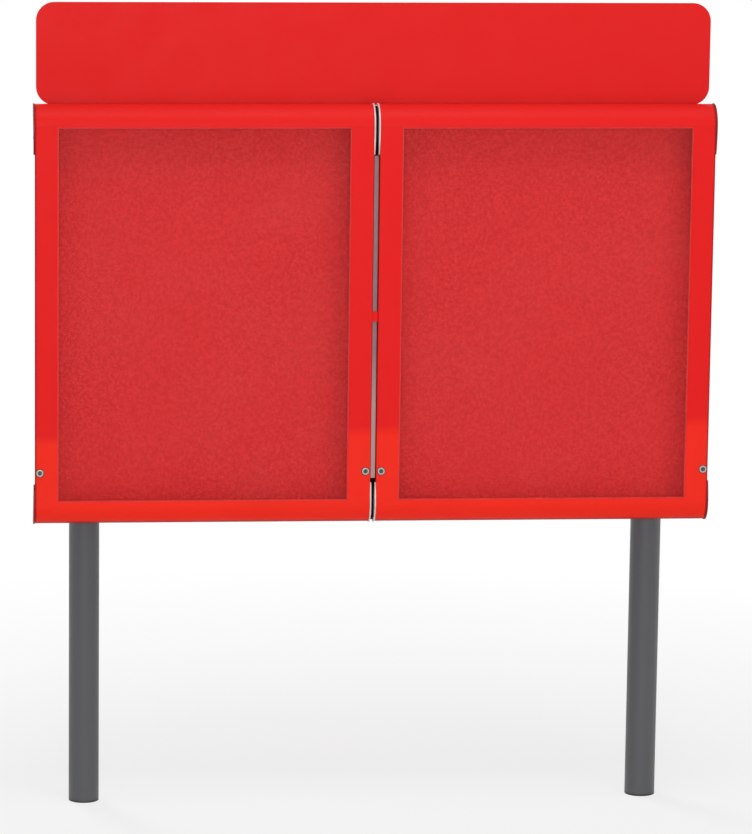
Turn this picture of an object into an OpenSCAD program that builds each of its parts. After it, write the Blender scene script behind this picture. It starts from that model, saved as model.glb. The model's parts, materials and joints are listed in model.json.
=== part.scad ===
// Twin outdoor showcase sign on two round posts, in millimetres.
// X runs to the right, Y runs from the doors to the posts, Z is up from the ground.
// The origin is at ground level in the middle of the sign's footprint.

/* [Posts] */
// Outside diameter of each round post
post_d = 76; // [60:1:90]
// Wall thickness of the post tube
post_wall = 3; // [2:0.5:6]
// Depth of the socket in the foot of each post for its ground spigot
spigot_h = 300; // [200:10:400]
// Distance between the centre lines of the posts
post_pitch = 1420; // [1100:5:1500]
// Height of the underside of the cases above the ground
ground_clear = 732; // [300:10:1500]

/* [Cases] */
// Width of each door over its frame
door_w = 830; // [720:5:1000]
// Height of each case
case_h = 1040; // [900:2:1300]
// Gap between the two door frames
door_gap = 15; // [14:1:30]
// Depth from the door face to the back of the case
case_d = 78; // [76:1:100]
// Sheet thickness of the case
sheet = 2; // [1:0.5:2.5]
// How far the case walls stand inside the edges of the door
wall_inset = 24; // [23:0.5:26]
// Width of the folded flanges of the case
flange = 10; // [8:0.5:11]
// Air above the case roof and under the case floor, inside the door's curved rails
case_air = 12; // [11.5:0.5:14]
// Thickness of the pin board
board_t = 12; // [6:1:14]

/* [Door frame] */
// Thickness of the door frame
door_t = 22; // [20:1:24]
// Face width of the door stiles
stile_w = 55; // [54:1:70]
// Face height of the top rail
top_rail_h = 52; // [52:1:70]
// Face height of the bottom rail
bottom_rail_h = 60; // [56:1:75]
// Radius of the curve from the door face to the roof and the underside
curve_r = 50; // [44:1:51]
// Wall thickness of the door extrusions
skin = 2.5; // [2:0.5:3]
// Thickness of the end caps
cap_t = 3.5; // [2:0.5:5]
// How far the end caps stand proud of the rails
cap_proud = 2; // [0.5:0.5:3]
// Height of the top end caps below the roof
cap_top = 120; // [110:1:140]
// Height of the bottom end caps
cap_bottom = 105; // [100:1:108]

/* [Glazing] */
// Thickness of the clear sheet
glazing_t = 4; // [3:0.5:5]
// How far the clear sheet enters the frame
glazing_cover = 8; // [5:0.5:10]
// Wall of the glazing gasket
gasket_t = 1; // [0.6:0.1:1.5]
// Gasket lip that shows inside the frame
gasket_lip = 3; // [1:0.5:5]
// Thickness of the weather seal between door and case
seal_t = 2.7; // [2:0.1:4]

/* [Hinge] */
// Outside radius of the hinge knuckles
knuckle_r = 4; // [3.5:0.25:4.5]
// Radius of the hinge pin
hinge_pin_r = 2; // [1.5:0.25:2.5]
// Thickness of the hinge leaves
leaf_t = 2; // [1.5:0.25:2]
// Number of knuckles along the hinge
knuckles = 7; // [5:2:11]

/* [Locks] */
// Distance of the lock from the outer edge of the door
lock_edge = 12; // [11:0.5:13]
// Height of the locks above the underside of the case
lock_z = 134; // [130:1:200]
// Radius of the ring on the lock's face
lock_ring_r = 9; // [8:0.5:10]
// Radius of the turning plug
plug_r = 5.5; // [4:0.5:6]
// Reach of the cam from the lock's axis
cam_len = 22; // [18:0.5:24]
// Thickness of the cam
cam_t = 2.5; // [2:0.5:4]

/* [Gas struts] */
// Distance of each strut from the edge of the door
strut_x = 44; // [42:0.5:46]
// Radius of the strut's cylinder
tube_r = 7; // [5:0.5:7]
// Radius of the strut's rod
rod_r = 3; // [2.5:0.25:3.5]
// Depth of the door pivot in front of the hinge
strut_top_y = 30; // [26:1:34]
// Height of the door pivot below the hinge
strut_top_z = 60; // [58:1:66]
// Depth of the case pivot in front of the hinge
strut_base_y = 26; // [24:1:32]
// Height of the case pivot below the hinge
strut_base_z = 400; // [380:5:460]
// Length between the case pivot and the cylinder when the door is shut
rod_show = 90; // [60:5:120]

/* [Header] */
// Width of the header panel
header_w = 1665; // [1500:1:1700]
// Height of the header panel
header_h = 252; // [150:2:400]
// Thickness of the header panel
header_t = 3; // [2:0.5:6]
// Corner radius of the header panel
header_r = 45; // [10:1:70]
// Height of the header's lower edge above the roof line of the cases
header_gap = -5; // [-8:0.5:20]
// Distance of the header panel behind the cases
header_back = 4; // [4:0.5:8]

/* [Rails and clamps] */
// Height of the mounting rails
rail_h = 40; // [36:1:50]
// Depth of the mounting rails behind the cases
rail_d = 32; // [30:1:50]
// Wall thickness of the mounting rails
rail_wall = 3; // [2:0.5:4]
// Width of the slot along the back of the rails
rail_slot = 14; // [12:1:16]
// Length of the mounting rails
rail_len = 1600; // [1590:5:1640]
// Height of the lower rail above the underside of the cases
rail_low = 200; // [160:5:300]
// Distance of the upper rail below the roof of the cases
rail_high = 220; // [160:5:300]
// Thickness of the post clamps
clamp_t = 3; // [2:0.5:5]
// Radius of the clamp bolts
bolt_r = 4; // [3:0.5:5]

/* [Hidden] */
$fn = 64;

// Colours
red = "#e22a2a";
felt_red = "#c63032";
iron_grey = "#5a5b5d";
silver = "#b9bcc0";
zinc = "#9a9ea3";
black = "#1c1c1e";
clear = [0.85, 0.9, 0.95, 0.3];

// Clearances
fit = 0.2;
run_fit = 0.05;
cut = 1;

// Case planes, measured from the door face and from the underside of the case
half_door = door_w / 2;
half_body = half_door - wall_inset;
front_y = door_t + seal_t + 0.3;
body_z0 = case_air;
body_z1 = case_h - case_air;
roof_y = case_d - 14;
hinge_y = case_d - knuckle_r + leaf_t;
hinge_z = case_h - skin - knuckle_r;
hinge_end = 30;
hinge_half = half_door - hinge_end;
knuckle_len = 2 * hinge_half / knuckles;
leaf_h = 30;
board_y = case_d - 2 * sheet - board_t;

// Window and glazing channel
slot_y = 3.5;
slot_w = glazing_t + 2 * gasket_t;
slot_depth = glazing_cover + 2;
half_window = half_door - stile_w;
window_z0 = bottom_rail_h;
window_z1 = case_h - top_rail_h;

// Locks
lock_x = half_door - lock_edge;
lock_body_r = plug_r + 2.5;
lock_face = 2.5;
cam_y = front_y + 6;
cam_w = 12;
nut_t = 2;
keeper_t = 2;
keeper_low = 16;
keeper_high = 12;

// Struts: pivots in the plane of Y and Z
strut_a = [hinge_y - strut_base_y, hinge_z - strut_base_z];
strut_b = [hinge_y - strut_top_y, hinge_z - strut_top_z];
strut_len = norm(strut_b - strut_a);
strut_tilt = atan2(strut_a[0] - strut_b[0], strut_b[1] - strut_a[1]);
strut_side = half_door - strut_x;
eye_t = 7;
eye_r = 7;
stud_r = 4;
bracket_t = 3;
bracket_w = 10;
bracket_h = 20;
foot_h = 34;
tube_low = rod_show;
tube_high = strut_len - 14;

// Back of the sign
rail_y0 = case_d;
rail_y1 = case_d + rail_d;
header_y = case_d + header_back;
header_z0 = case_h + header_gap;
header_rail_y = header_y + header_t;
header_rail_z = header_z0 + header_h / 2;
post_r = post_d / 2;
post_seat = 0.5;
post_y = rail_y1 + post_seat + post_r;
clamp_in = post_r + fit;
clamp_out = clamp_in + clamp_t;
clamp_ear = 28;
clamp_h = rail_h - 2;
clamp_bolt_x = clamp_out + clamp_ear / 2;
bolt_head_t = 5;
case_bolt_x = 0.3 * door_w;
case_bolt_r = 3;
post_top = ground_clear + header_z0 + header_h - 24;
post_cap_t = 4;

// Whole sign: the middle of its depth lies over the origin
front_end = -max(lock_face, cap_proud);
back_end = post_y + clamp_out;
shift_y = -(front_end + back_end) / 2;
case_pitch = door_w + door_gap;
half_gap = door_gap / 2 + wall_inset;
strip_w = door_gap - 4;
strip_y = 12;
strip_z0 = cap_bottom + 10;
strip_z1 = case_h - cap_top - 3;
blade_y = 20;

// Placement
module sign_place() {
    translate([0, shift_y, ground_clear]) children();
}

module case_place(side) {
    translate([side * case_pitch / 2, 0, 0]) sign_place() children();
}

module both_sides() {
    children();
    mirror([1, 0, 0]) children();
}

// Turns a drawing of depth and height into a bar along X, centred on X = 0
module along_x(length) {
    translate([-length / 2, 0, 0])
        rotate([90, 0, 90]) linear_extrude(length) children();
}

module block(x0, x1, y0, y1, z0, z1) {
    translate([x0, y0, z0]) cube([x1 - x0, y1 - y0, z1 - z0]);
}

// A cylinder along +Y from y0 to y1
module rod_y(r, x, y0, y1, z) {
    translate([x, y0, z]) rotate([-90, 0, 0]) cylinder(r = r, h = y1 - y0);
}

// A cylinder along +X from x0 to x1
module rod_x(r, x0, x1, y, z) {
    translate([x0, y, z]) rotate([0, 90, 0]) cylinder(r = r, h = x1 - x0);
}

// Posts: a plate inside each one rests on the ground spigot
module post() {
    color(iron_grey)
        translate([0, shift_y + post_y, 0])
            difference() {
                cylinder(r = post_r, h = post_top);
                translate([0, 0, -cut]) cylinder(r = post_r - post_wall, h = spigot_h + cut);
                translate([0, 0, spigot_h + 4]) cylinder(r = post_r - post_wall, h = post_top);
            }
}

module post_caps() {
    color(black)
        both_sides()
            translate([post_pitch / 2, shift_y + post_y, post_top]) {
                cylinder(r = post_r + 1, h = post_cap_t - 1);
                cylinder(r = post_r - 1, h = post_cap_t);
                translate([0, 0, -18]) cylinder(r = post_r - post_wall - fit, h = 19);
            }
}

// Header
module header_outline() {
    w = header_w / 2 - header_r;
    h = header_h / 2 - header_r;
    square([header_w, 2 * h], center = true);
    square([2 * w, header_h], center = true);
    for (x = [-w, w], z = [-h, h]) translate([x, z]) circle(header_r);
}

module header_panel() {
    color(red)
        sign_place()
            translate([0, header_y + header_t, header_z0 + header_h / 2])
                rotate([90, 0, 0]) linear_extrude(header_t) header_outline();
}

// Mounting rails: lipped channels with their slot towards the posts
module rail_section(depth) {
    difference() {
        translate([0, -rail_h / 2]) square([depth, rail_h]);
        translate([rail_wall, rail_wall - rail_h / 2])
            square([depth - 2 * rail_wall, rail_h - 2 * rail_wall]);
        translate([depth / 2, -rail_slot / 2]) square([depth, rail_slot]);
    }
}

module rail(y0, z) {
    color(silver)
        difference() {
            sign_place() translate([0, y0, z]) along_x(rail_len) rail_section(rail_y1 - y0);
            for (side = [-1, 1]) case_place(side) case_bolt_holes();
        }
}

module rail_end_caps() {
    plug = 8;
    color(black)
        sign_place()
            for (place = rail_places())
                both_sides()
                    translate([rail_len / 2, 0, place[1]]) {
                        block(0, 3, place[0], rail_y1, -rail_h / 2, rail_h / 2);
                        block(-plug, cut, place[0] + rail_wall + fit, rail_y1 - rail_wall - fit,
                            rail_wall + fit - rail_h / 2, rail_h / 2 - rail_wall - fit);
                    }
}

// Each rail's front plane and height
function rail_places() = [
    [rail_y0, rail_low],
    [rail_y0, case_h - rail_high],
    [header_rail_y, header_rail_z]
];

// Clamps: a strap round the back of the post with two ears on the rail
module clamp_section() {
    face = post_r + post_seat;
    difference() {
        union() {
            intersection() {
                circle(clamp_out);
                translate([-clamp_out, 0]) square([2 * clamp_out, clamp_out]);
            }
            translate([-clamp_out, -face]) square([2 * clamp_out, face]);
            translate([-clamp_out - clamp_ear, -face])
                square([2 * (clamp_out + clamp_ear), clamp_t]);
        }
        circle(clamp_in);
        translate([-clamp_in, -face - cut]) square([2 * clamp_in, face + cut]);
    }
}

module post_clamps() {
    color(zinc)
        sign_place()
            for (place = rail_places())
                both_sides()
                    translate([post_pitch / 2, post_y, place[1]])
                        difference() {
                            translate([0, 0, -clamp_h / 2]) linear_extrude(clamp_h) clamp_section();
                            for (x = [-clamp_bolt_x, clamp_bolt_x])
                                rod_y(bolt_r + fit, x, -post_y, 0, 0);
                        }
}

module clamp_bolt() {
    lip_y = rail_y1 - rail_wall;
    nut_y = rail_y1 + clamp_t;
    block(-10, 10, lip_y - bolt_head_t, lip_y, -rail_slot / 2 - 5, rail_slot / 2 + 5);
    rod_y(bolt_r, 0, lip_y - cut, nut_y + 9, 0);
    translate([0, nut_y, 0]) rotate([-90, 30, 0]) cylinder(r = 1.85 * bolt_r, h = 6.5, $fn = 6);
}

module clamp_bolts() {
    color(zinc)
        sign_place()
            for (place = rail_places(), post = [-1, 1], x = [-clamp_bolt_x, clamp_bolt_x])
                translate([post * post_pitch / 2 + x, 0, place[1]]) clamp_bolt();
}

module case_bolts() {
    head_y = case_d - 2 * sheet + 0.3;
    nut_y = case_d + rail_wall;
    color(zinc)
        for (side = [-1, 1])
            case_place(side)
                for (z = [rail_low, case_h - rail_high], x = [-case_bolt_x, case_bolt_x]) {
                    rod_y(case_bolt_r, x, head_y, nut_y + cut, z);
                    rod_y(case_bolt_r + 3, x, head_y, case_d - sheet, z);
                    rod_y(case_bolt_r + 3.5, x, nut_y, nut_y + 4, z);
                }
}

module case_bolt_holes() {
    for (z = [rail_low, case_h - rail_high], x = [-case_bolt_x, case_bolt_x])
        rod_y(case_bolt_r + fit, x, case_d - sheet - cut, case_d + rail_wall + cut, z);
}

// The gap between the cases: a slim strip between the doors on a web from the back plate
module gap_cover_strip() {
    color(silver)
        sign_place() {
            block(fit - half_gap, half_gap - fit, case_d - sheet, case_d, body_z0, body_z1);
            block(-1, 1, strip_y, case_d - sheet + cut, strip_z0, strip_z1);
            block(-strip_w / 2, strip_w / 2, strip_y, strip_y + 3, strip_z0, strip_z1);
        }
}

// A block between the cases with a blade that closes the gap between the end caps
module gap_spacer(drop) {
    blade = door_gap / 2 - cap_t - 1;
    back = case_d - sheet;
    block(fit - half_gap, half_gap - fit, roof_y + 2, back, -drop, -case_air);
    block(-blade, blade, roof_y - 1, back, -drop, -case_air);
    along_x(2 * blade)
        intersection() {
            curved_outline(4, drop);
            translate([blade_y, -drop]) square([case_d, drop]);
        }
}

module gap_spacers() {
    color(black)
        sign_place() {
            translate([0, 0, case_h]) gap_spacer(cap_top + 2);
            mirror([0, 0, 1]) gap_spacer(cap_bottom + 9);
        }
}

module gap_link() {
    link_h = 25;
    half = door_gap / 2 - 0.5;
    mid_z = case_h / 2;
    color(red)
        sign_place() block(-half, half, 5, strip_y, mid_z - link_h / 2, mid_z + link_h / 2);
}

// Case
module case_tray() {
    inner = half_body - sheet - flange - fit;
    drain_x = 0.3 * door_w;
    color(red) {
        difference() {
            block(-half_body, half_body, case_d - sheet, case_d, body_z0, body_z1);
            case_bolt_holes();
        }
        block(-half_body, half_body, front_y, case_d - sheet, body_z1 - sheet, body_z1);
        block(-inner, inner, front_y, front_y + sheet, body_z1 - flange, body_z1 - sheet);
        block(-inner, inner, front_y, front_y + sheet, body_z0 + sheet, body_z0 + flange);
        difference() {
            block(-half_body, half_body, front_y, case_d - sheet, body_z0, body_z0 + sheet);
            for (x = [-drain_x, drain_x])
                translate([x, (front_y + board_y) / 2, body_z0 - cut])
                    cylinder(r = 3, h = sheet + 2 * cut);
        }
    }
}

// Slot in the wall that takes the turned cam
module cam_slot(x0, x1) {
    block(x0 - cut, x1 + cut, cam_y - 1, cam_y + cam_t + 1,
        lock_z - cam_w / 2 - 2, lock_z + cam_len + 2);
}

module case_side_walls() {
    z0 = body_z0 + sheet;
    z1 = body_z1 - sheet;
    back = case_d - sheet;
    color(silver)
        both_sides()
            difference() {
                union() {
                    block(half_body - sheet, half_body, front_y, back, z0, z1);
                    block(half_body - sheet - flange, half_body, front_y, front_y + sheet, z0, z1);
                    block(half_body - sheet - flange, half_body, back - sheet, back, z0, z1);
                }
                cam_slot(half_body - sheet, half_body);
            }
}

module lock_keepers() {
    x1 = half_body - sheet;
    color(zinc)
        both_sides()
            difference() {
                block(x1 - keeper_t, x1, front_y + sheet + 1, cam_y + cam_t + 10,
                    lock_z - keeper_low, lock_z + cam_len + keeper_high);
                cam_slot(x1 - keeper_t, x1);
            }
}

module pin_board() {
    half = half_body - sheet - 0.5;
    color(felt_red)
        block(-half, half, board_y, board_y + board_t, body_z0 + sheet + 0.5, body_z1 - sheet - 0.5);
}

module door_seal() {
    lip = 8;
    color(black)
        difference() {
            block(-half_body, half_body, front_y - seal_t, front_y, body_z0, body_z1);
            block(lip - half_body, half_body - lip, front_y - seal_t - cut, front_y + cut,
                body_z0 + lip, body_z1 - lip);
        }
}

// Hinge along the back of the roof; odd knuckles belong to the case, even ones to the door
module knuckle_row(first) {
    gap = 0.3;
    difference() {
        for (i = [first:2:knuckles - 1])
            rod_x(knuckle_r, i * knuckle_len + gap - hinge_half,
                (i + 1) * knuckle_len - gap - hinge_half, hinge_y, hinge_z);
        rod_x(hinge_pin_r + run_fit, -half_door, half_door, hinge_y, hinge_z);
    }
}

module hinge_case_leaf() {
    gap = 0.3;
    clear_r = knuckle_r + 0.5;
    back = hinge_y + knuckle_r;
    color(silver) {
        knuckle_row(0);
        block(-hinge_half, hinge_half, back - leaf_t, back, hinge_z - leaf_h, hinge_z - clear_r);
        difference() {
            for (i = [0:2:knuckles - 1])
                block(i * knuckle_len + gap - hinge_half, (i + 1) * knuckle_len - gap - hinge_half,
                    back - leaf_t, back, hinge_z - clear_r - cut, hinge_z);
            rod_x(hinge_pin_r + run_fit, -half_door, half_door, hinge_y, hinge_z);
        }
    }
}

module hinge_door_leaf() {
    gap = 0.3;
    clear_r = knuckle_r + 0.5;
    top = hinge_z + knuckle_r;
    color(silver) {
        knuckle_row(1);
        block(-hinge_half, hinge_half, curve_r, hinge_y - clear_r, top - leaf_t, top);
        difference() {
            for (i = [1:2:knuckles - 1])
                block(i * knuckle_len + gap - hinge_half, (i + 1) * knuckle_len - gap - hinge_half,
                    hinge_y - clear_r - cut, hinge_y, top - leaf_t, top);
            rod_x(hinge_pin_r + run_fit, -half_door, half_door, hinge_y, hinge_z);
        }
    }
}

module hinge_pin() {
    color(zinc) rod_x(hinge_pin_r, -hinge_half, hinge_half, hinge_y, hinge_z);
}

// Door rails: drawn in depth and height, with the outer corner at the drawing's top
module curved_outline(inset, h) {
    r = curve_r - inset;
    difference() {
        translate([inset, -h]) square([roof_y - inset, h - inset]);
        difference() {
            translate([inset - cut, -curve_r]) square([r + cut, r + cut]);
            translate([curve_r, -curve_r]) circle(r);
        }
    }
}

module door_rail_section(h) {
    chamber_z = slot_depth + skin - h;
    difference() {
        curved_outline(0, h);
        intersection() {
            curved_outline(skin, h + cut);
            translate([door_t, -h - cut]) square([case_d, h + cut]);
        }
        intersection() {
            curved_outline(skin, h);
            translate([skin, chamber_z]) square([door_t - 2 * skin, h]);
        }
        translate([slot_y, -h - cut]) square([slot_w, slot_depth + cut]);
    }
}

module door_top_rail() {
    color(red) translate([0, 0, case_h]) along_x(door_w) door_rail_section(top_rail_h);
}

module door_bottom_rail() {
    color(red) mirror([0, 0, 1]) along_x(door_w) door_rail_section(bottom_rail_h);
}

module stile_section() {
    edge_r = 1.5;
    difference() {
        union() {
            translate([half_window, 0]) square([stile_w - edge_r, door_t]);
            translate([half_window, edge_r]) square([stile_w, door_t - edge_r]);
            translate([half_door - edge_r, edge_r]) circle(edge_r);
        }
        translate([half_window - cut, slot_y]) square([slot_depth + cut, slot_w]);
        translate([half_window + slot_depth + skin, skin])
            square([stile_w - slot_depth - 2 * skin, door_t - 2 * skin]);
    }
}

module door_stiles() {
    color(red)
        both_sides()
            difference() {
                translate([0, 0, window_z0]) linear_extrude(window_z1 - window_z0) stile_section();
                rod_y(lock_body_r + fit, lock_x, -cut, door_t + cut, lock_z);
            }
}

// Leaf-shaped cap: a quarter round on top and a shallow arc down to the tail
module cap_outline(drop) {
    r = curve_r + cap_proud;
    tail_in = 10;
    tail_h = drop - curve_r;
    tail_r = (tail_in * tail_in + tail_h * tail_h) / (2 * tail_in);
    back = roof_y - 2;
    intersection() {
        union() {
            translate([curve_r, -curve_r]) circle(r);
            translate([curve_r, -curve_r]) square([back - curve_r, r]);
            translate([-cap_proud, -drop]) square([back, drop - curve_r]);
        }
        union() {
            translate([-cap_proud, -curve_r]) square([back + cap_proud, r]);
            translate([tail_r - cap_proud, -curve_r]) circle(tail_r);
        }
        polygon([
            [-cap_proud - cut, r], [back, r], [back, -16], [door_t + 8, -curve_r - 16],
            [tail_in - cap_proud, -drop], [-cap_proud - cut, -drop]
        ]);
    }
}

module end_cap(drop) {
    translate([half_door, 0, 0]) rotate([90, 0, 90]) linear_extrude(cap_t) cap_outline(drop);
}

module door_end_caps() {
    color(silver)
        both_sides() {
            translate([0, 0, case_h]) end_cap(cap_top);
            mirror([0, 0, 1]) end_cap(cap_bottom);
        }
}

// Blocks in the hollow of the stiles, screwed to the rails
module door_corner_cleats() {
    cleat_h = 60;
    x0 = half_window + slot_depth + skin + fit;
    x1 = half_door - skin - fit;
    color(zinc)
        both_sides()
            for (z = [window_z0, window_z1 - cleat_h])
                block(x0, x1, skin + fit, door_t - skin - fit, z, z + cleat_h - 2);
}

module glazing() {
    half = half_window + glazing_cover;
    color(clear)
        block(-half, half, slot_y + gasket_t, slot_y + gasket_t + glazing_t,
            window_z0 - glazing_cover, window_z1 + glazing_cover);
}

module glazing_gasket() {
    outer = glazing_cover + 1.8;
    pocket = glazing_cover + 0.05;
    color("#d83c38")
        difference() {
            block(-half_window - outer, half_window + outer, slot_y, slot_y + slot_w,
                window_z0 - outer, window_z1 + outer);
            block(gasket_lip - half_window, half_window - gasket_lip, slot_y - cut,
                slot_y + slot_w + cut, window_z0 + gasket_lip, window_z1 - gasket_lip);
            block(-half_window - pocket, half_window + pocket, slot_y + gasket_t,
                slot_y + gasket_t + glazing_t, window_z0 - pocket, window_z1 + pocket);
        }
}

// Locks
module lock_housings() {
    color(silver)
        both_sides()
            difference() {
                union() {
                    rod_y(lock_ring_r, lock_x, -lock_face, 0, lock_z);
                    rod_y(lock_body_r, lock_x, -cut, cam_y - 1.5, lock_z);
                    rod_y(lock_body_r + 2, lock_x, door_t, door_t + nut_t, lock_z);
                }
                rod_y(plug_r + run_fit, lock_x, -lock_face - cut, cam_y, lock_z);
            }
}

// Plug with its key slot and the cam, which points up when unlocked
module lock_core(x) {
    slot_t = 1.6;
    face = 0.4;
    color(zinc)
        difference() {
            union() {
                rod_y(plug_r, x, face - lock_face, cam_y, lock_z);
                rod_y(plug_r - 1.5, x, cam_y - cut, cam_y + cam_t + 3, lock_z);
                block(x - cam_w / 2, x + cam_w / 2, cam_y, cam_y + cam_t,
                    lock_z, lock_z + cam_len - cam_w / 2);
                rod_y(cam_w / 2, x, cam_y, cam_y + cam_t, lock_z);
                rod_y(cam_w / 2, x, cam_y, cam_y + cam_t, lock_z + cam_len - cam_w / 2);
            }
            block(x - slot_t / 2, x + slot_t / 2, -lock_face - cut, 6, lock_z - 3.5, lock_z + 3.5);
        }
}

// Gas struts, drawn along Z from the case pivot and then leaned to the door pivot
module strut_place() {
    both_sides()
        translate([strut_side, strut_a[0], strut_a[1]]) rotate([strut_tilt, 0, 0]) children();
}

module strut_tubes() {
    bore = tube_r - 1.5;
    color(black)
        strut_place()
            difference() {
                union() {
                    rod_x(eye_r, -eye_t / 2, eye_t / 2, 0, strut_len);
                    translate([0, 0, tube_high - cut]) cylinder(r = eye_t / 2 - 0.5, h = 14);
                    translate([0, 0, tube_low]) cylinder(r = tube_r, h = tube_high - tube_low);
                }
                rod_x(stud_r + run_fit, -eye_t, eye_t, 0, strut_len);
                translate([0, 0, tube_low + 8]) cylinder(r = bore, h = tube_high - tube_low - 12);
                translate([0, 0, tube_low - cut]) cylinder(r = rod_r + run_fit, h = 20);
            }
}

module strut_rods() {
    piston_z = tube_high - 18;
    color(silver)
        strut_place() {
            rod_x(eye_r, -eye_t / 2, eye_t / 2, 0, 0);
            cylinder(r = rod_r, h = piston_z + cut);
            translate([0, 0, piston_z]) cylinder(r = tube_r - 1.5 - 2 * run_fit, h = 10);
        }
}

// The ball stud ends beside the rod's socket, with room for it to pass
module strut_case_brackets() {
    wall = half_body - sheet;
    stud_x = strut_side + max(eye_t / 2, rod_r) + 0.5;
    color(zinc)
        both_sides() {
            block(wall - bracket_t, wall, strut_a[0] - bracket_w, strut_a[0] + bracket_w,
                strut_a[1] - bracket_h, strut_a[1] + bracket_h);
            rod_x(stud_r, stud_x, wall - 2, strut_a[0], strut_a[1]);
            rod_x(stud_r + 1.5, stud_x + 3, wall - 2, strut_a[0], strut_a[1]);
        }
}

module strut_door_brackets() {
    ear_x = strut_side - eye_t / 2 - 0.5;
    end_x = strut_side + eye_t / 2 + 0.4;
    ear_t = bracket_t;
    foot_z = strut_b[1];
    color(zinc)
        both_sides() {
            block(ear_x - ear_t, ear_x + 9, door_t, door_t + 2, foot_z - foot_h, foot_z + 6);
            block(ear_x - ear_t, ear_x, door_t, strut_b[0], foot_z - eye_r, foot_z + eye_r);
            rod_x(eye_r, ear_x - ear_t, ear_x, strut_b[0], foot_z);
            rod_x(stud_r, ear_x - cut, end_x + cut, strut_b[0], foot_z);
            rod_x(stud_r + 2, end_x, end_x + 2, strut_b[0], foot_z);
        }
}

// Posts and back structure
translate([-post_pitch / 2, 0, 0]) post();  // post_left
translate([post_pitch / 2, 0, 0]) post();  // post_right
post_caps();
header_panel();
rail(header_rail_y, header_rail_z);  // header_rail
rail(rail_y0, case_h - rail_high);  // upper_rail
rail(rail_y0, rail_low);  // lower_rail
rail_end_caps();
post_clamps();
clamp_bolts();
case_bolts();
gap_cover_strip();
gap_spacers();
gap_link();

// Left case
case_place(-1) case_tray();  // left_case_tray
case_place(-1) case_side_walls();  // left_case_side_walls
case_place(-1) pin_board();  // left_pin_board
case_place(-1) door_seal();  // left_door_seal
case_place(-1) hinge_case_leaf();  // left_hinge_case_leaf
case_place(-1) hinge_pin();  // left_hinge_pin
case_place(-1) lock_keepers();  // left_lock_keepers
case_place(-1) strut_case_brackets();  // left_strut_case_brackets
case_place(-1) door_top_rail();  // left_door_top_rail
case_place(-1) door_bottom_rail();  // left_door_bottom_rail
case_place(-1) door_stiles();  // left_door_stiles
case_place(-1) door_end_caps();  // left_door_end_caps
case_place(-1) door_corner_cleats();  // left_door_corner_cleats
case_place(-1) glazing();  // left_glazing
case_place(-1) glazing_gasket();  // left_glazing_gasket
case_place(-1) hinge_door_leaf();  // left_hinge_door_leaf
case_place(-1) lock_housings();  // left_lock_housings
case_place(-1) lock_core(-lock_x);  // left_lock_outer
case_place(-1) lock_core(lock_x);  // left_lock_inner
case_place(-1) strut_door_brackets();  // left_strut_door_brackets
case_place(-1) strut_tubes();  // left_strut_tubes
case_place(-1) strut_rods();  // left_strut_rods

// Right case
case_place(1) case_tray();  // right_case_tray
case_place(1) case_side_walls();  // right_case_side_walls
case_place(1) pin_board();  // right_pin_board
case_place(1) door_seal();  // right_door_seal
case_place(1) hinge_case_leaf();  // right_hinge_case_leaf
case_place(1) hinge_pin();  // right_hinge_pin
case_place(1) lock_keepers();  // right_lock_keepers
case_place(1) strut_case_brackets();  // right_strut_case_brackets
case_place(1) door_top_rail();  // right_door_top_rail
case_place(1) door_bottom_rail();  // right_door_bottom_rail
case_place(1) door_stiles();  // right_door_stiles
case_place(1) door_end_caps();  // right_door_end_caps
case_place(1) door_corner_cleats();  // right_door_corner_cleats
case_place(1) glazing();  // right_glazing
case_place(1) glazing_gasket();  // right_glazing_gasket
case_place(1) hinge_door_leaf();  // right_hinge_door_leaf
case_place(1) lock_housings();  // right_lock_housings
case_place(1) lock_core(-lock_x);  // right_lock_inner
case_place(1) lock_core(lock_x);  // right_lock_outer
case_place(1) strut_door_brackets();  // right_strut_door_brackets
case_place(1) strut_tubes();  // right_strut_tubes
case_place(1) strut_rods();  // right_strut_rods
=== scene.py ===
"""Looks of a twin outdoor showcase sign on two round posts, in metres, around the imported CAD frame."""

import json
import math

import bmesh
import bpy
from mathutils import Matrix, Vector


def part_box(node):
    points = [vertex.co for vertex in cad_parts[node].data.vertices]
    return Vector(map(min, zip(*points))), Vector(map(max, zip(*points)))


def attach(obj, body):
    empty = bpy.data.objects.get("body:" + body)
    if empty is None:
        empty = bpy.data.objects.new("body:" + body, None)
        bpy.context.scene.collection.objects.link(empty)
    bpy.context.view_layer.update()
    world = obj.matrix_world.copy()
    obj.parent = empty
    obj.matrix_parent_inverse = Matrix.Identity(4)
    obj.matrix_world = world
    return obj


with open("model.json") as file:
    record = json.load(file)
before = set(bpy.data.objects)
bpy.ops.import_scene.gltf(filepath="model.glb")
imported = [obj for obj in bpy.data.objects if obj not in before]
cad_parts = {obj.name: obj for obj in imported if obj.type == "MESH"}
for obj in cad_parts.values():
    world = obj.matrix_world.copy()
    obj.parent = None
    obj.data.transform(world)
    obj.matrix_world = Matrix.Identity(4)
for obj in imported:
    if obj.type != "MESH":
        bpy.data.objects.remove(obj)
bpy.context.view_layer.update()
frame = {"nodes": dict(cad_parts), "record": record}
nodes = frame["nodes"]
scene = bpy.context.scene

MM = 0.001
SIDES = {"left": -1, "right": 1}

# Camera, fitted to the photograph's edges
PHOTO_W, PHOTO_H = 752, 834
FOCAL_PX = 4407.6
CENTRE_X, CENTRE_Y = 239.04, 417.0
YAW, PITCH, ROLL = math.radians(4.49), math.radians(9.58), math.radians(0.44)
EYE = Vector((-1.1737, -10.7785, 2.8129))
SENSOR = 36.0


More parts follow.
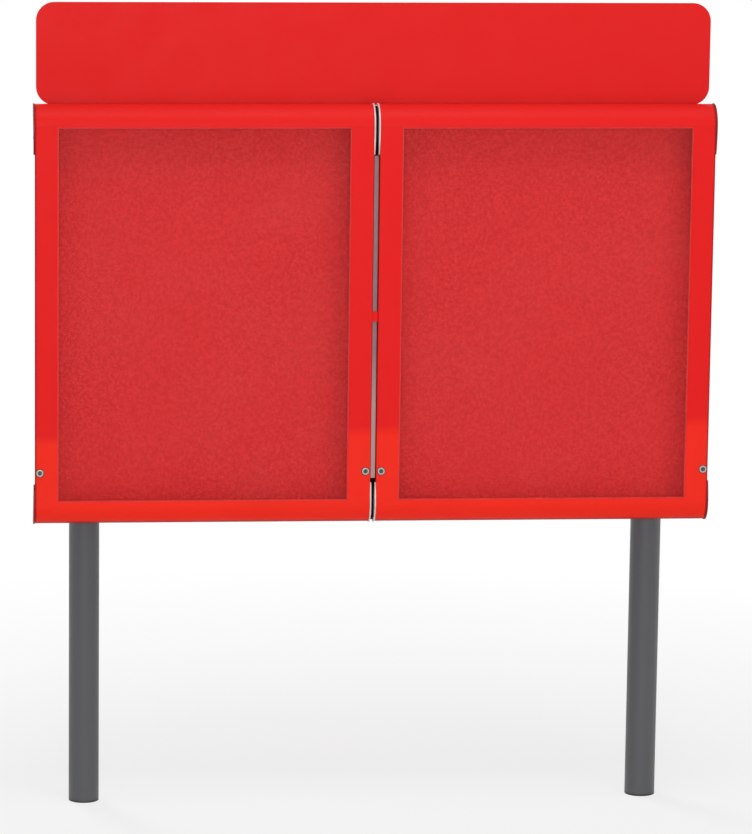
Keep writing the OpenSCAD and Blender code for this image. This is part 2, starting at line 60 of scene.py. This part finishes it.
def make_camera():
    """A camera at the photograph's viewing angle; its long side is the height."""
    data = bpy.data.cameras.new("camera")
    cam = bpy.data.objects.new("camera", data)
    scene.collection.objects.link(cam)
    data.sensor_fit = "AUTO"
    data.sensor_width = SENSOR
    data.lens = FOCAL_PX * SENSOR / PHOTO_H
    data.shift_x = (PHOTO_W / 2 - CENTRE_X) / PHOTO_H
    data.shift_y = (CENTRE_Y - PHOTO_H / 2) / PHOTO_H
    data.clip_start, data.clip_end = 0.1, 100.0
    ahead = Vector((math.sin(YAW) * math.cos(PITCH), math.cos(YAW) * math.cos(PITCH), -math.sin(PITCH)))
    right = Vector((math.cos(YAW), -math.sin(YAW), 0.0))
    up = right.cross(ahead)
    right, up = (
        right * math.cos(ROLL) + up * math.sin(ROLL),
        up * math.cos(ROLL) - right * math.sin(ROLL),
    )
    turn = Matrix((right, up, -ahead)).transposed()
    cam.matrix_world = Matrix.Translation(EYE) @ turn.to_4x4()
    scene.camera = cam
    return cam


# Tools for the materials

# The range that most of a noise stays within
MOST = (0.3, 0.7)


def to_linear(rgb, share=1.0):
    """An sRGB colour in 0 to 255 as the shader's linear colour, or a darker share of it."""
    out = []
    for v in rgb:
        v = v / 255.0
        out.append(share * (v / 12.92 if v <= 0.04045 else ((v + 0.055) / 1.055) ** 2.4))
    return (*out, 1.0)


def rubbed(rgb):
    """The paler tone that a plastic takes where it is rubbed or dusty."""
    return (*(min(1.0, c * 1.3 + 0.004) for c in to_linear(rgb)[:3]), 1.0)


class Shader:
    """A Principled material with small helpers for its procedural nodes."""

    def __init__(self, name):
        self.mat = bpy.data.materials.new(name)
        self.mat.use_nodes = True
        self.tree = self.mat.node_tree
        self.bsdf = self.tree.nodes["Principled BSDF"]
        self.coords = self.tree.nodes.new("ShaderNodeTexCoord").outputs["Object"]

    def node(self, kind, **values):
        n = self.tree.nodes.new(kind)
        for key, value in values.items():
            setattr(n, key, value)
        return n

    def link(self, a, b):
        self.tree.links.new(a, b)

    def feed(self, socket, value):
        """Gives a socket a fixed value, or links it to the output that makes one."""
        if isinstance(value, (int, float, tuple)):
            socket.default_value = value
        else:
            self.link(value, socket)

    def axes(self):
        """X, Y and Z of the object coordinates, which are metres in the frame."""
        split = self.node("ShaderNodeSeparateXYZ")
        self.link(self.coords, split.inputs[0])
        return split.outputs["X"], split.outputs["Y"], split.outputs["Z"]

    def scaled(self, scale):
        """The object coordinates, stretched by a scale for each axis."""
        m = self.node("ShaderNodeMapping")
        m.inputs["Scale"].default_value = scale
        self.link(self.coords, m.inputs["Vector"])
        return m.outputs["Vector"]

    def noise(self, scale, detail=3.0, rough=0.55, vector=None, distortion=0.0):
        n = self.node("ShaderNodeTexNoise")
        n.inputs["Scale"].default_value = scale
        n.inputs["Detail"].default_value = detail
        n.inputs["Roughness"].default_value = rough
        n.inputs["Distortion"].default_value = distortion
        self.link(vector or self.coords, n.inputs["Vector"])
        return n.outputs["Fac"]

    def spread(self, value, low, high, to_low=0.0, to_high=1.0):
        """Maps a value from one range to another, clamped."""
        n = self.node("ShaderNodeMapRange", clamp=True)
        for key, v in (("From Min", low), ("From Max", high), ("To Min", to_low), ("To Max", to_high)):
            n.inputs[key].default_value = v
        self.link(value, n.inputs["Value"])
        return n.outputs["Result"]

    def math(self, kind, a, b=0.0):
        n = self.node("ShaderNodeMath", operation=kind)
        self.feed(n.inputs[0], a)
        self.feed(n.inputs[1], b)
        return n.outputs[0]

    def blend(self, fac, a, b):
        """Colour a where fac is 0, b where it is 1."""
        n = self.node("ShaderNodeMix", data_type="RGBA")
        self.link(fac, n.inputs["Factor"])
        for key, v in (("A", a), ("B", b)):
            self.feed([s for s in n.inputs if s.name == key and s.type == "RGBA"][0], v)
        return [s for s in n.outputs if s.type == "RGBA"][0]

    def fade(self, value, ends, a, b):
        """An sRGB colour that turns from a to b while the value passes from one end to the other."""
        return self.blend(self.spread(value, *ends), to_linear(a), to_linear(b))

    def dusted(self, colour, pale, spots, film):
        """A colour turned paler in small rubbed spots and under a thin broad film, each by its share."""
        small = self.spread(self.noise(30.0, 4.0), 0.35, 0.7, 0.0, spots)
        broad = self.spread(self.noise(2.2, 5.0, 0.6), 0.45, 0.8, 0.0, film)
        return self.blend(broad, self.blend(small, colour, pale), pale)

    def colour(self, value):
        self.feed(self.bsdf.inputs["Base Color"], value)

    def rough(self, value):
        self.feed(self.bsdf.inputs["Roughness"], value)

    def level(self, name, value):
        """Sets one of the surface's plain levels, such as how metallic it is."""
        self.bsdf.inputs[name].default_value = value

    def bump(self, height, strength, distance):
        n = self.node("ShaderNodeBump")
        n.inputs["Strength"].default_value = strength
        n.inputs["Distance"].default_value = distance
        self.link(height, n.inputs["Height"])
        self.link(n.outputs["Normal"], self.bsdf.inputs["Normal"])


# Painted metal

# The lower doors' lighter red is a painted reflection of the floor
DOOR_RED, FLOOR_REFLECTION_RED = (233, 28, 27), (250, 45, 28)
# Roof red: a painted highlight on the curved roof. Edge red: painted shade along the doors' outer and
# lower edges
ROOF_HIGHLIGHT_RED, EDGE_SHADE_RED = (229, 38, 35), (150, 24, 22)
PANEL_RED, PANEL_LOW_RED = (226, 28, 27), (222, 26, 25)
# The foot grey is a painted contact shadow where the posts meet the ground
POST_GREY, POST_LOW_GREY, FOOT_SHADOW_GREY = (75, 76, 79), (81, 82, 84), (30, 31, 32)

# Where a painted reflection of the floor makes the doors' paint lighter, as heights at X = 0, and how
# far the line rises along X
REFLECTION_FADE, REFLECTION_LEAN = (0.954, 0.981), 0.024
# Just behind the doors' curved rails, along Y, where the painted floor reflection and the roof's painted
# highlight stop
DOOR_BACK = (-0.03, -0.02)
HEADER_FADE = (1.76, 2.0)
POST_FADE = (0.0, 0.7)
FOOT_SHADOW_FADE = (3 * MM, 7 * MM)

top_rail_low, top_rail_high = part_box("right_door_top_rail")
door_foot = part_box("right_door_bottom_rail")[0].z
# Heights where the painted highlight on the roof comes in
ROOF_HIGHLIGHT_FADE = (top_rail_low.z - 2 * MM, top_rail_high.z - 6 * MM)
# Bands of painted shade: at the doors' outer ends along X, and at their foot along Z
OUTER_EDGE_SHADE = (top_rail_high.x - 5 * MM, top_rail_high.x - 1.1 * MM)
UNDER_EDGE_SHADE = (door_foot + 2 * MM, door_foot + 11 * MM)


def powder_coat(s, base, tone, roughness, grain=520.0, gloss=0.12):
    """Finishes a paint over its base colour: faint mottling, fine orange peel and handling marks."""
    mottle = s.spread(s.noise(7.0, 4.0), *MOST, 0.0, 0.16)
    s.colour(s.blend(mottle, base, to_linear(tone, 0.92)))
    s.rough(s.spread(s.noise(11.0, 5.0), *MOST, roughness - 0.05, roughness + 0.06))
    s.bump(s.noise(grain, 2.0), 0.12, 0.0004)
    s.level("Specular IOR Level", gloss)
    return s.mat


def door_paint(name):
    """Red of doors and cases: a painted floor reflection makes it lighter below a slanted line, a
    painted highlight makes the roof paler, and painted shade darkens the outer and lower edges.
    """
    s = Shader(name)
    x, y, z = s.axes()
    # Painted floor reflection: lighter red below a slanted line
    slanted = s.math("SUBTRACT", z, s.math("MULTIPLY", x, REFLECTION_LEAN))
    base = s.fade(slanted, REFLECTION_FADE, FLOOR_REFLECTION_RED, DOOR_RED)
    base = s.blend(s.spread(y, *DOOR_BACK), base, to_linear(DOOR_RED))
    # Painted highlight: paler red on the roof, in front of the rails' backs
    roof = s.math("MULTIPLY", s.spread(z, *ROOF_HIGHLIGHT_FADE), s.spread(y, *DOOR_BACK, 1.0, 0.0))
    base = s.blend(roof, base, to_linear(ROOF_HIGHLIGHT_RED))
    # Painted shade: dark red along the doors' outer and lower edges
    outer = s.spread(s.math("ABSOLUTE", x), *OUTER_EDGE_SHADE)
    under = s.spread(z, *UNDER_EDGE_SHADE, 1.0, 0.0)
    base = s.blend(s.math("MAXIMUM", outer, under), base, to_linear(EDGE_SHADE_RED))
    return powder_coat(s, base, DOOR_RED, 0.48, gloss=0.1)


def panel_paint(name):
    """Red of the header, slightly darker at its foot."""
    s = Shader(name)
    z = s.axes()[2]
    return powder_coat(s, s.fade(z, HEADER_FADE, PANEL_LOW_RED, PANEL_RED), PANEL_RED, 0.5)


def post_paint(name):
    """Grey of the posts, slightly paler low down, with a painted contact shadow as a dark rim where each
    meets the ground.
    """
    s = Shader(name)
    z = s.axes()[2]
    base = s.fade(z, POST_FADE, POST_LOW_GREY, POST_GREY)
    # Painted contact shadow: a dark rim at each post's foot
    base = s.blend(s.spread(z, *FOOT_SHADOW_FADE, 1.0, 0.0), base, to_linear(FOOT_SHADOW_GREY))
    return powder_coat(s, base, POST_GREY, 0.42, 900.0, 0.5)


# Bare and plated metal

CAP_SILVER, CAP_DULL = (232, 226, 222), (206, 198, 194)
CAP_RED, CAP_DARK_RED = (150, 30, 32), (128, 26, 28)
# How far from the middle the end caps change from silver to dark red
CAP_CHANGE = (0.3, 0.35)
ZINC_PALE, ZINC_DARK = (186, 188, 192), (150, 153, 158)


def metal(name, rgb, roughness, stretch, scratch=0.05):
    """Metal with fine drawn lines along the axis whose scale is small."""
    s = Shader(name)
    lines = s.noise(380.0, 2.0, vector=s.scaled(stretch))
    dull = s.spread(s.noise(16.0, 5.0), 0.35, 0.75, 0.0, 0.7)
    s.colour(s.blend(dull, to_linear(rgb), to_linear(rgb, 0.82)))
    s.rough(s.spread(lines, *MOST, roughness - 0.05, roughness + 0.08))
    s.bump(lines, scratch, 0.0003)
    s.level("Metallic", 1.0)
    return s.mat


def cap_finish(name):
    """End caps: satin silver at the gap between the doors, coated dark red at the sign's two ends."""
    s = Shader(name)
    outer = s.spread(s.math("ABSOLUTE", s.axes()[0]), *CAP_CHANGE)
    silver = s.fade(s.noise(30.0, 4.0), MOST, CAP_SILVER, CAP_DULL)
    coat = s.fade(s.noise(12.0, 4.0), MOST, CAP_RED, CAP_DARK_RED)
    s.colour(s.blend(outer, silver, coat))
    s.rough(s.spread(s.noise(60.0, 3.0), *MOST, 0.36, 0.46))
    s.bump(s.noise(500.0, 2.0), 0.08, 0.0003)
    s.level("Specular IOR Level", 0.2)
    return s.mat


def zinc(name):
    """Zinc plate: pale grey with the soft cells of the plating."""
    s = Shader(name)
    cells = s.node("ShaderNodeTexVoronoi")
    cells.inputs["Scale"].default_value = 260.0
    s.link(s.coords, cells.inputs["Vector"])
    s.colour(s.fade(cells.outputs["Distance"], (0.0, 0.7), ZINC_PALE, ZINC_DARK))
    s.rough(s.spread(s.noise(60.0, 3.0), *MOST, 0.3, 0.46))
    s.bump(s.noise(420.0, 2.0), 0.08, 0.0003)
    s.level("Metallic", 0.9)
    return s.mat


# Plastic, rubber, felt and the clear sheets

# The strip's front carries a painted reflection of the red doors beside it, darker in its upper part as
# painted shade, and turns plain grey behind, along Y
STRIP_REFLECTION_LOW, STRIP_SHADED_HIGH = (187, 164, 163), (146, 126, 130)
STRIP_GREY, STRIP_DARK_GREY = (126, 127, 130), (116, 117, 120)
STRIP_SHADE_FADE = (1.03, 1.17)
STRIP_BACK = (-0.07, -0.05)
FELT_DEEP, FELT_BRIGHT = (202, 35, 37), (246, 63, 63)
FELT_NAP, FELT_BROAD = (202, 34, 38), (231, 53, 53)
SHEET_CLEAR, SHEET_SMEARED = (212, 214, 216), (228, 230, 232)


def moulded(s, tone, roughness, grain=700.0, gloss=0.25):
    """Finishes a plastic over its colour, with a fine grain and uneven polish."""
    s.colour(tone)
    s.rough(s.spread(s.noise(40.0, 4.0), *MOST, roughness - 0.06, roughness + 0.08))
    s.bump(s.noise(grain, 2.0), 0.15, 0.0003)
    s.level("Specular IOR Level", gloss)
    return s.mat


def plastic(name, rgb, roughness, **finish):
    """Moulded plastic or rubber of one colour, with a little dust."""
    s = Shader(name)
    return moulded(s, s.dusted(to_linear(rgb), rubbed(rgb), 0.6, 0.4), roughness, **finish)


def strip_plastic(name):
    """The strip between the doors: a painted red reflection in front, darker in its upper part as
    painted shade, and plain grey behind.
    """
    s = Shader(name)
    y, z = s.axes()[1:]
    # Painted light: red reflected from the doors beside it, darker higher up as painted shade
    front = s.dusted(s.fade(z, STRIP_SHADE_FADE, STRIP_REFLECTION_LOW, STRIP_SHADED_HIGH), rubbed(STRIP_REFLECTION_LOW), 0.1, 0.1)
    plain = s.fade(s.noise(30.0, 4.0), MOST, STRIP_GREY, STRIP_DARK_GREY)
    return moulded(s, s.blend(s.spread(y, *STRIP_BACK), front, plain), 0.6)


def felt(name):
    """Short pile felt: fine mottled fibres under a soft sheen."""
    s = Shader(name)
    fibre = s.noise(430.0, 3.0, 0.7, distortion=0.6)
    nap = s.noise(150.0, 3.0, 0.6)
    broad = s.noise(3.0, 3.0)
    base = s.fade(fibre, (0.3, 0.72), FELT_DEEP, FELT_BRIGHT)
    base = s.blend(s.spread(nap, 0.42, 0.58, 0.0, 0.7), base, to_linear(FELT_NAP))
    s.colour(s.blend(s.spread(broad, 0.35, 0.7, 0.0, 0.22), base, to_linear(FELT_BROAD)))
    s.rough(0.95)
    s.bump(s.math("ADD", fibre, nap), 0.2, 0.0005)
    s.level("Sheen Weight", 0.08)
    s.level("Sheen Roughness", 0.5)
    s.level("Specular IOR Level", 0.15)
    return s.mat


def clear(name):
    """Clear polycarbonate: nearly all of it is see-through, and less of it at a low angle."""
    s = Shader(name)
    edge = s.node("ShaderNodeLayerWeight")
    edge.inputs["Blend"].default_value = 0.5
    smear = s.spread(s.noise(5.0, 5.0, 0.6), 0.45, 0.8, 0.0, 0.006)
    alpha = s.spread(edge.outputs["Facing"], 0.45, 1.0, 0.006, 0.36)
    s.link(s.math("ADD", alpha, smear), s.bsdf.inputs["Alpha"])
    s.colour(s.blend(smear, to_linear(SHEET_CLEAR), to_linear(SHEET_SMEARED)))
    s.rough(s.spread(s.noise(9.0, 4.0), *MOST, 0.04, 0.09))
    return s.mat


# Scale of the drawn lines' noise along each axis
UPRIGHT, ROD, EVEN = (1.0, 1.0, 0.03), (1.0, 1.0, 0.05), (1.0, 1.0, 1.0)

MATS = {
    "red_paint": door_paint("red_paint"),
    "red_panel": panel_paint("red_panel"),
    "post_paint": post_paint("post_paint"),
    "aluminium": metal("aluminium", (158, 159, 162), 0.46, UPRIGHT),
    "cap_silver": cap_finish("cap_silver"),
    "zinc_steel": zinc("zinc_steel"),
    "lock_chrome": metal("lock_chrome", (166, 162, 158), 0.36, EVEN, 0.02),
    "lock_core": metal("lock_core", (82, 86, 83), 0.42, EVEN, 0.03),
    "rod_chrome": metal("rod_chrome", (214, 215, 218), 0.16, ROD, 0.02),
    "strut_black": plastic("strut_black", (26, 26, 28), 0.36, grain=300.0),
    # Black plastic: the near-black spacers in the gap between the doors stand in for the gap's deep
    # shade, as painted shade
    "black_plastic": plastic("black_plastic", (9, 9, 10), 0.65, gloss=0.08),
    "grey_plastic": strip_plastic("grey_plastic"),
    "black_rubber": plastic("black_rubber", (24, 24, 25), 0.72, grain=500.0),
    # The gasket's red is paler than the doors' as a painted highlight: it draws the thin light line
    # along the windows' edges
    "red_gasket": plastic("red_gasket", (214, 56, 54), 0.6, grain=600.0),
    "red_felt": felt("red_felt"),
    "clear_sheet": clear("clear_sheet"),
}


# The CAD nodes

# Widths of the small rounded edges in mm, by material
USUAL_BEVEL = 0.5
BEVELS = {
    "red_paint": 0.25,
    "red_panel": 0.6,
    "post_paint": 0.8,
    "lock_chrome": 0.6,
    "lock_core": 0.3,
    "black_rubber": 0.4,
    "red_gasket": 0.2,
    "zinc_steel": 0.35,
}
BEVEL_ANGLE = math.radians(40)


def dress_nodes():
    """Every CAD node gets its slot's material and, except felt and clear sheets, small rounded edges,
    but thin trays stay flat.
    """
    slots = {s["node"]: s["material_slot"] for s in frame["record"]["subparts"]}
    for name, obj in nodes.items():
        slot = slots[name]
        obj.data.materials.clear()
        obj.data.materials.append(MATS[slot])
        if name.endswith("_case_tray"):
            continue
        for poly in obj.data.polygons:
            poly.use_smooth = True
        weld = obj.modifiers.new("weld", "WELD")
        weld.merge_threshold = 1e-6
        if slot not in ("red_felt", "clear_sheet"):
            bevel = obj.modifiers.new("bevel", "BEVEL")
            bevel.width = BEVELS.get(slot, USUAL_BEVEL) * MM
            bevel.segments = 2
            bevel.limit_method = "ANGLE"
            bevel.angle_limit = BEVEL_ANGLE
            bevel.harden_normals = True
        shade = obj.modifiers.new("shade", "WEIGHTED_NORMAL")
        shade.keep_sharp = True


# Fasteners: sizes in mm, and each set is one mesh in the frame's own coordinates

# Profiles from the seat outwards: height and radius, or height with a cross's reach and half arm
RIVET = ((-0.3, 3.6), (0.25, 3.6), (0.75, 3.2), (1.15, 2.4), (1.3, 1.5), (1.25, 1.25), (0.5, 1.1))
SCREW_HEAD = ((-0.3, 4.0), (0.35, 4.0), (0.8, 3.7), (1.05, 3.1), (1.15, 2.4))
SCREW = (*SCREW_HEAD, (1.15, (2.1, 0.55)), (0.2, (1.6, 0.45)))
GASKET = ((-0.2, 10.4), (0.4, 10.4), (0.55, 10.1), (0.55, 8.6))
WASHER = ((-0.3, 10.6), (1.2, 10.6), (1.5, 10.3), (1.5, 6.6), (0.2, 6.6))
# Corners of each ring
RIVET_STEPS, WASHER_STEPS, FINE_STEPS = 24, 32, 48
SPLIT_ANGLE = math.radians(38)

CASE_RIVETS, CASE_RIVET_EDGE, CASE_RIVET_FOOT, CASE_RIVET_TOP = 10, 6, 20, 14
HINGE_RIVETS, HINGE_RIVET_END, HINGE_RIVET_FOOT = 9, 18, 9
# End cap screws: depth behind the doors' face, and height from the caps' top or foot
CAP_TOP_SCREWS = ((24, -24), (12, -80))
CAP_FOOT_SCREWS = ((24, 25), (13, 73))
CORNER_SCREW_EDGE, CORNER_SCREW_ENDS = 16.5, (14, 44)
LOCK_EDGE = 12
CLAMP_BOLT_X, CLAMP_THICK = 55.2, 3

BACK = (0, 1, 0)
FRONT = (0, -1, 0)


def cross_radius(reach, arm, turn):
    """Outline of a cross recess: how far it reaches at a turn from one of its arms."""
    off = abs((turn + math.pi / 4) % (math.pi / 2) - math.pi / 4)
    return min(reach, arm / max(math.sin(off), 1e-4))


def turned(mesh, profile, spot, normal, steps):
    """Adds a form turned about its normal to a bmesh, closed at the profile's last ring."""
    away = Vector(normal).normalized()
    across = away.orthogonal().normalized()
    side = away.cross(across)
    loops = []
    for height, shape in profile:
        loop = []
        for i in range(steps):
            turn = 2 * math.pi * i / steps
            r = shape if isinstance(shape, (int, float)) else cross_radius(*shape, turn)
            out = (across * math.cos(turn) + side * math.sin(turn)) * r
            loop.append(mesh.verts.new(Vector(spot) + (out + away * height) * MM))
        loops.append(loop)
    for low, high in zip(loops, loops[1:]):
        for i in range(steps):
            j = (i + 1) % steps
            mesh.faces.new((low[i], low[j], high[j], high[i]))
    mesh.faces.new(loops[-1])


def fasteners(name, profile, spots, body, slot, steps=FINE_STEPS):
    """One piece made of many equal fasteners, each at a spot with its outward direction."""
    mesh = bmesh.new()
    for spot, normal in spots:
        turned(mesh, profile, spot, normal, steps)
    bmesh.ops.recalc_face_normals(mesh, faces=mesh.faces)
    data = bpy.data.meshes.new(name)
    mesh.to_mesh(data)
    mesh.free()
    for poly in data.polygons:
        poly.use_smooth = True
    data.materials.append(MATS[slot])
    piece = bpy.data.objects.new(name, data)
    scene.collection.objects.link(piece)
    edges = piece.modifiers.new("edges", "EDGE_SPLIT")
    edges.split_angle = SPLIT_ANGLE
    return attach(piece, body)


def evenly(low, high, count):
    """That many values from low to high, both included, at equal distances."""
    return [low + (high - low) * i / (count - 1) for i in range(count)]


def facing(normal, columns, y, heights):
    """Spots in columns at one depth, each with the same outward direction."""
    return [((x, y, z), normal) for x in columns for z in heights]


def add_case_rivets(side):
    """Rivets up both edges of the back sheet, and along the hinge leaf above them."""
    low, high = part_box(side + "_case_tray")
    leaf_low, leaf_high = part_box(side + "_hinge_case_leaf")
    columns = (low.x + CASE_RIVET_EDGE * MM, high.x - CASE_RIVET_EDGE * MM)
    heights = evenly(low.z + CASE_RIVET_FOOT * MM, leaf_low.z - CASE_RIVET_TOP * MM, CASE_RIVETS)
    spots = facing(BACK, columns, high.y, heights)
    fasteners(side + "_case_rivets", RIVET, spots, "sign_structure", "aluminium", RIVET_STEPS)

    columns = evenly(leaf_low.x + HINGE_RIVET_END * MM, leaf_high.x - HINGE_RIVET_END * MM, HINGE_RIVETS)
    spots = facing(BACK, columns, leaf_high.y, [leaf_low.z + HINGE_RIVET_FOOT * MM])
    fasteners(side + "_hinge_rivets", RIVET, spots, "sign_structure", "aluminium", RIVET_STEPS)


def add_door_fasteners(side, sign):
    """Screws on the door's outer end caps and behind its corners, and a rubber ring round each lock."""
    low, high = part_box(side + "_door_stiles")
    cap_low, cap_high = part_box(side + "_door_end_caps")
    outer = cap_low.x if sign < 0 else cap_high.x
    places = [(y, cap_high.z + z * MM) for y, z in CAP_TOP_SCREWS]
    places += [(y, cap_low.z + z * MM) for y, z in CAP_FOOT_SCREWS]
    spots = [((outer, low.y + y * MM, z), (sign, 0, 0)) for y, z in places]
    fasteners(side + "_cap_screws", SCREW, spots, side + "_door", "zinc_steel")

    near, far = (d * MM for d in CORNER_SCREW_ENDS)
    columns = (low.x + CORNER_SCREW_EDGE * MM, high.x - CORNER_SCREW_EDGE * MM)
    heights = (low.z + near, low.z + far, high.z - far, high.z - near)
    spots = facing(BACK, columns, high.y, heights)
    fasteners(side + "_corner_screws", SCREW, spots, side + "_door", "zinc_steel")

    lock_z = 0.5 * sum(v.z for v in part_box(side + "_lock_housings"))
    spots = facing(FRONT, (low.x + LOCK_EDGE * MM, high.x - LOCK_EDGE * MM), low.y, [lock_z])
    fasteners(side + "_lock_gaskets", GASKET, spots, side + "_door", "black_rubber")


def add_clamp_washers():
    """A washer under each clamp nut, two to a post at the height of each rail."""
    clamp_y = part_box("post_clamps")[0].y + CLAMP_THICK * MM
    post_x = 0.5 * sum(v.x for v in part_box("post_right"))
    columns = [sign * post_x + ear * CLAMP_BOLT_X * MM for sign in SIDES.values() for ear in (-1, 1)]
    heights = [0.5 * sum(v.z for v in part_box(n)) for n in ("lower_rail", "upper_rail", "header_rail")]
    spots = facing(BACK, columns, clamp_y, heights)
    fasteners("clamp_washers", WASHER, spots, "sign_structure", "zinc_steel", WASHER_STEPS)


def add_fasteners():
    """Rivets, screws and washers, each set on the node that carries it."""
    for side, sign in SIDES.items():
        add_case_rivets(side)
        add_door_fasteners(side, sign)
    add_clamp_washers()


# Stage

# Distances from the middle between which the floor turns white, and its share of white within them
FLOOR_NEAR, FLOOR_FAR, FLOOR_WHITE = 0.9, 3.0, 0.7
FLOOR_SIZE = 60.0
FLOOR_DARK, FLOOR_PALE = (0.8, 0.8, 0.8, 1.0), (0.84, 0.84, 0.84, 1.0)
WHITE = (1.0, 1.0, 1.0, 1.0)
WORLD_LIGHT = 0.34


def seen_rays(tree):
    """1 for rays that show a surface to the camera: straight, mirrored or through a clear one."""
    rays = tree.nodes.new("ShaderNodeLightPath")
    seen = rays.outputs["Is Camera Ray"]
    for kind in ("Is Glossy Ray", "Is Transmission Ray"):
        either = tree.nodes.new("ShaderNodeMath")
        either.operation = "MAXIMUM"
        tree.links.new(seen, either.inputs[0])
        tree.links.new(rays.outputs[kind], either.inputs[1])
        seen = either.outputs[0]
    return seen


def floor_material():
    """Pale floor that takes shadows near the sign and turns to plain white further out."""
    s = Shader("floor_pale")
    s.colour(s.blend(s.noise(1.5, 2.0), FLOOR_DARK, FLOOR_PALE))
    s.rough(0.9)
    s.level("Specular IOR Level", 0.1)
    far = s.node("ShaderNodeVectorMath", operation="LENGTH")
    s.link(s.coords, far.inputs[0])
    cover = s.spread(far.outputs["Value"], FLOOR_NEAR, FLOOR_FAR, FLOOR_WHITE, 1.0)
    white = s.node("ShaderNodeEmission")
    mix = s.node("ShaderNodeMixShader")
    s.link(s.math("MULTIPLY", seen_rays(s.tree), cover), mix.inputs[0])
    s.link(s.bsdf.outputs[0], mix.inputs[1])
    s.link(white.outputs[0], mix.inputs[2])
    s.link(mix.outputs[0], s.tree.nodes["Material Output"].inputs["Surface"])
    return s.mat


def make_floor():
    """A pale floor that shows the sign's shadow."""
    bpy.ops.mesh.primitive_plane_add(size=FLOOR_SIZE, location=(0, 0, 0))
    floor = bpy.context.object
    floor.name = "floor"
    floor.data.materials.append(floor_material())


def make_world():
    """A world that is white where the camera sees it, and lights the sign more softly."""
    world = bpy.data.worlds.new("studio")
    scene.world = world
    world.use_nodes = True
    tree = world.node_tree
    back = tree.nodes["Background"]
    level = tree.nodes.new("ShaderNodeMapRange")
    level.inputs["To Min"].default_value = WORLD_LIGHT
    level.inputs["To Max"].default_value = 1.0
    tree.links.new(seen_rays(tree), level.inputs["Value"])
    tree.links.new(level.outputs["Result"], back.inputs["Strength"])
    back.inputs["Color"].default_value = WHITE


def area_light(name, place, aim, size, power):
    data = bpy.data.lights.new(name, "AREA")
    data.shape = "RECTANGLE"
    data.size, data.size_y = size
    data.energy = power
    lamp = bpy.data.objects.new(name, data)
    scene.collection.objects.link(lamp)
    lamp.location = place
    lamp.rotation_euler = (Vector(aim) - Vector(place)).to_track_quat("-Z", "Y").to_euler()
    return lamp


def make_lights():
    """Soft lamps in front, above, behind and at both sides."""
    middle = (0, 0, 1.2)
    area_light("key", (-1.0, -9.0, 2.4), middle, (1.6, 1.6), 230)
    area_light("fill", (3.4, -4.6, 1.6), middle, (3.0, 3.0), 30)
    area_light("top", (0, -1.6, 5.2), (0, 0, 1.6), (3.0, 2.0), 68)
    area_light("back", (-2.6, 5.0, 3.4), middle, (2.0, 2.0), 110)
    for sign in SIDES.values():
        area_light("side", (sign * 4.5, 0.2, 1.4), middle, (2.0, 2.0), 16)


make_camera()
make_floor()
make_world()
make_lights()
dress_nodes()
add_fasteners()

scene.view_settings.view_transform = "Standard"
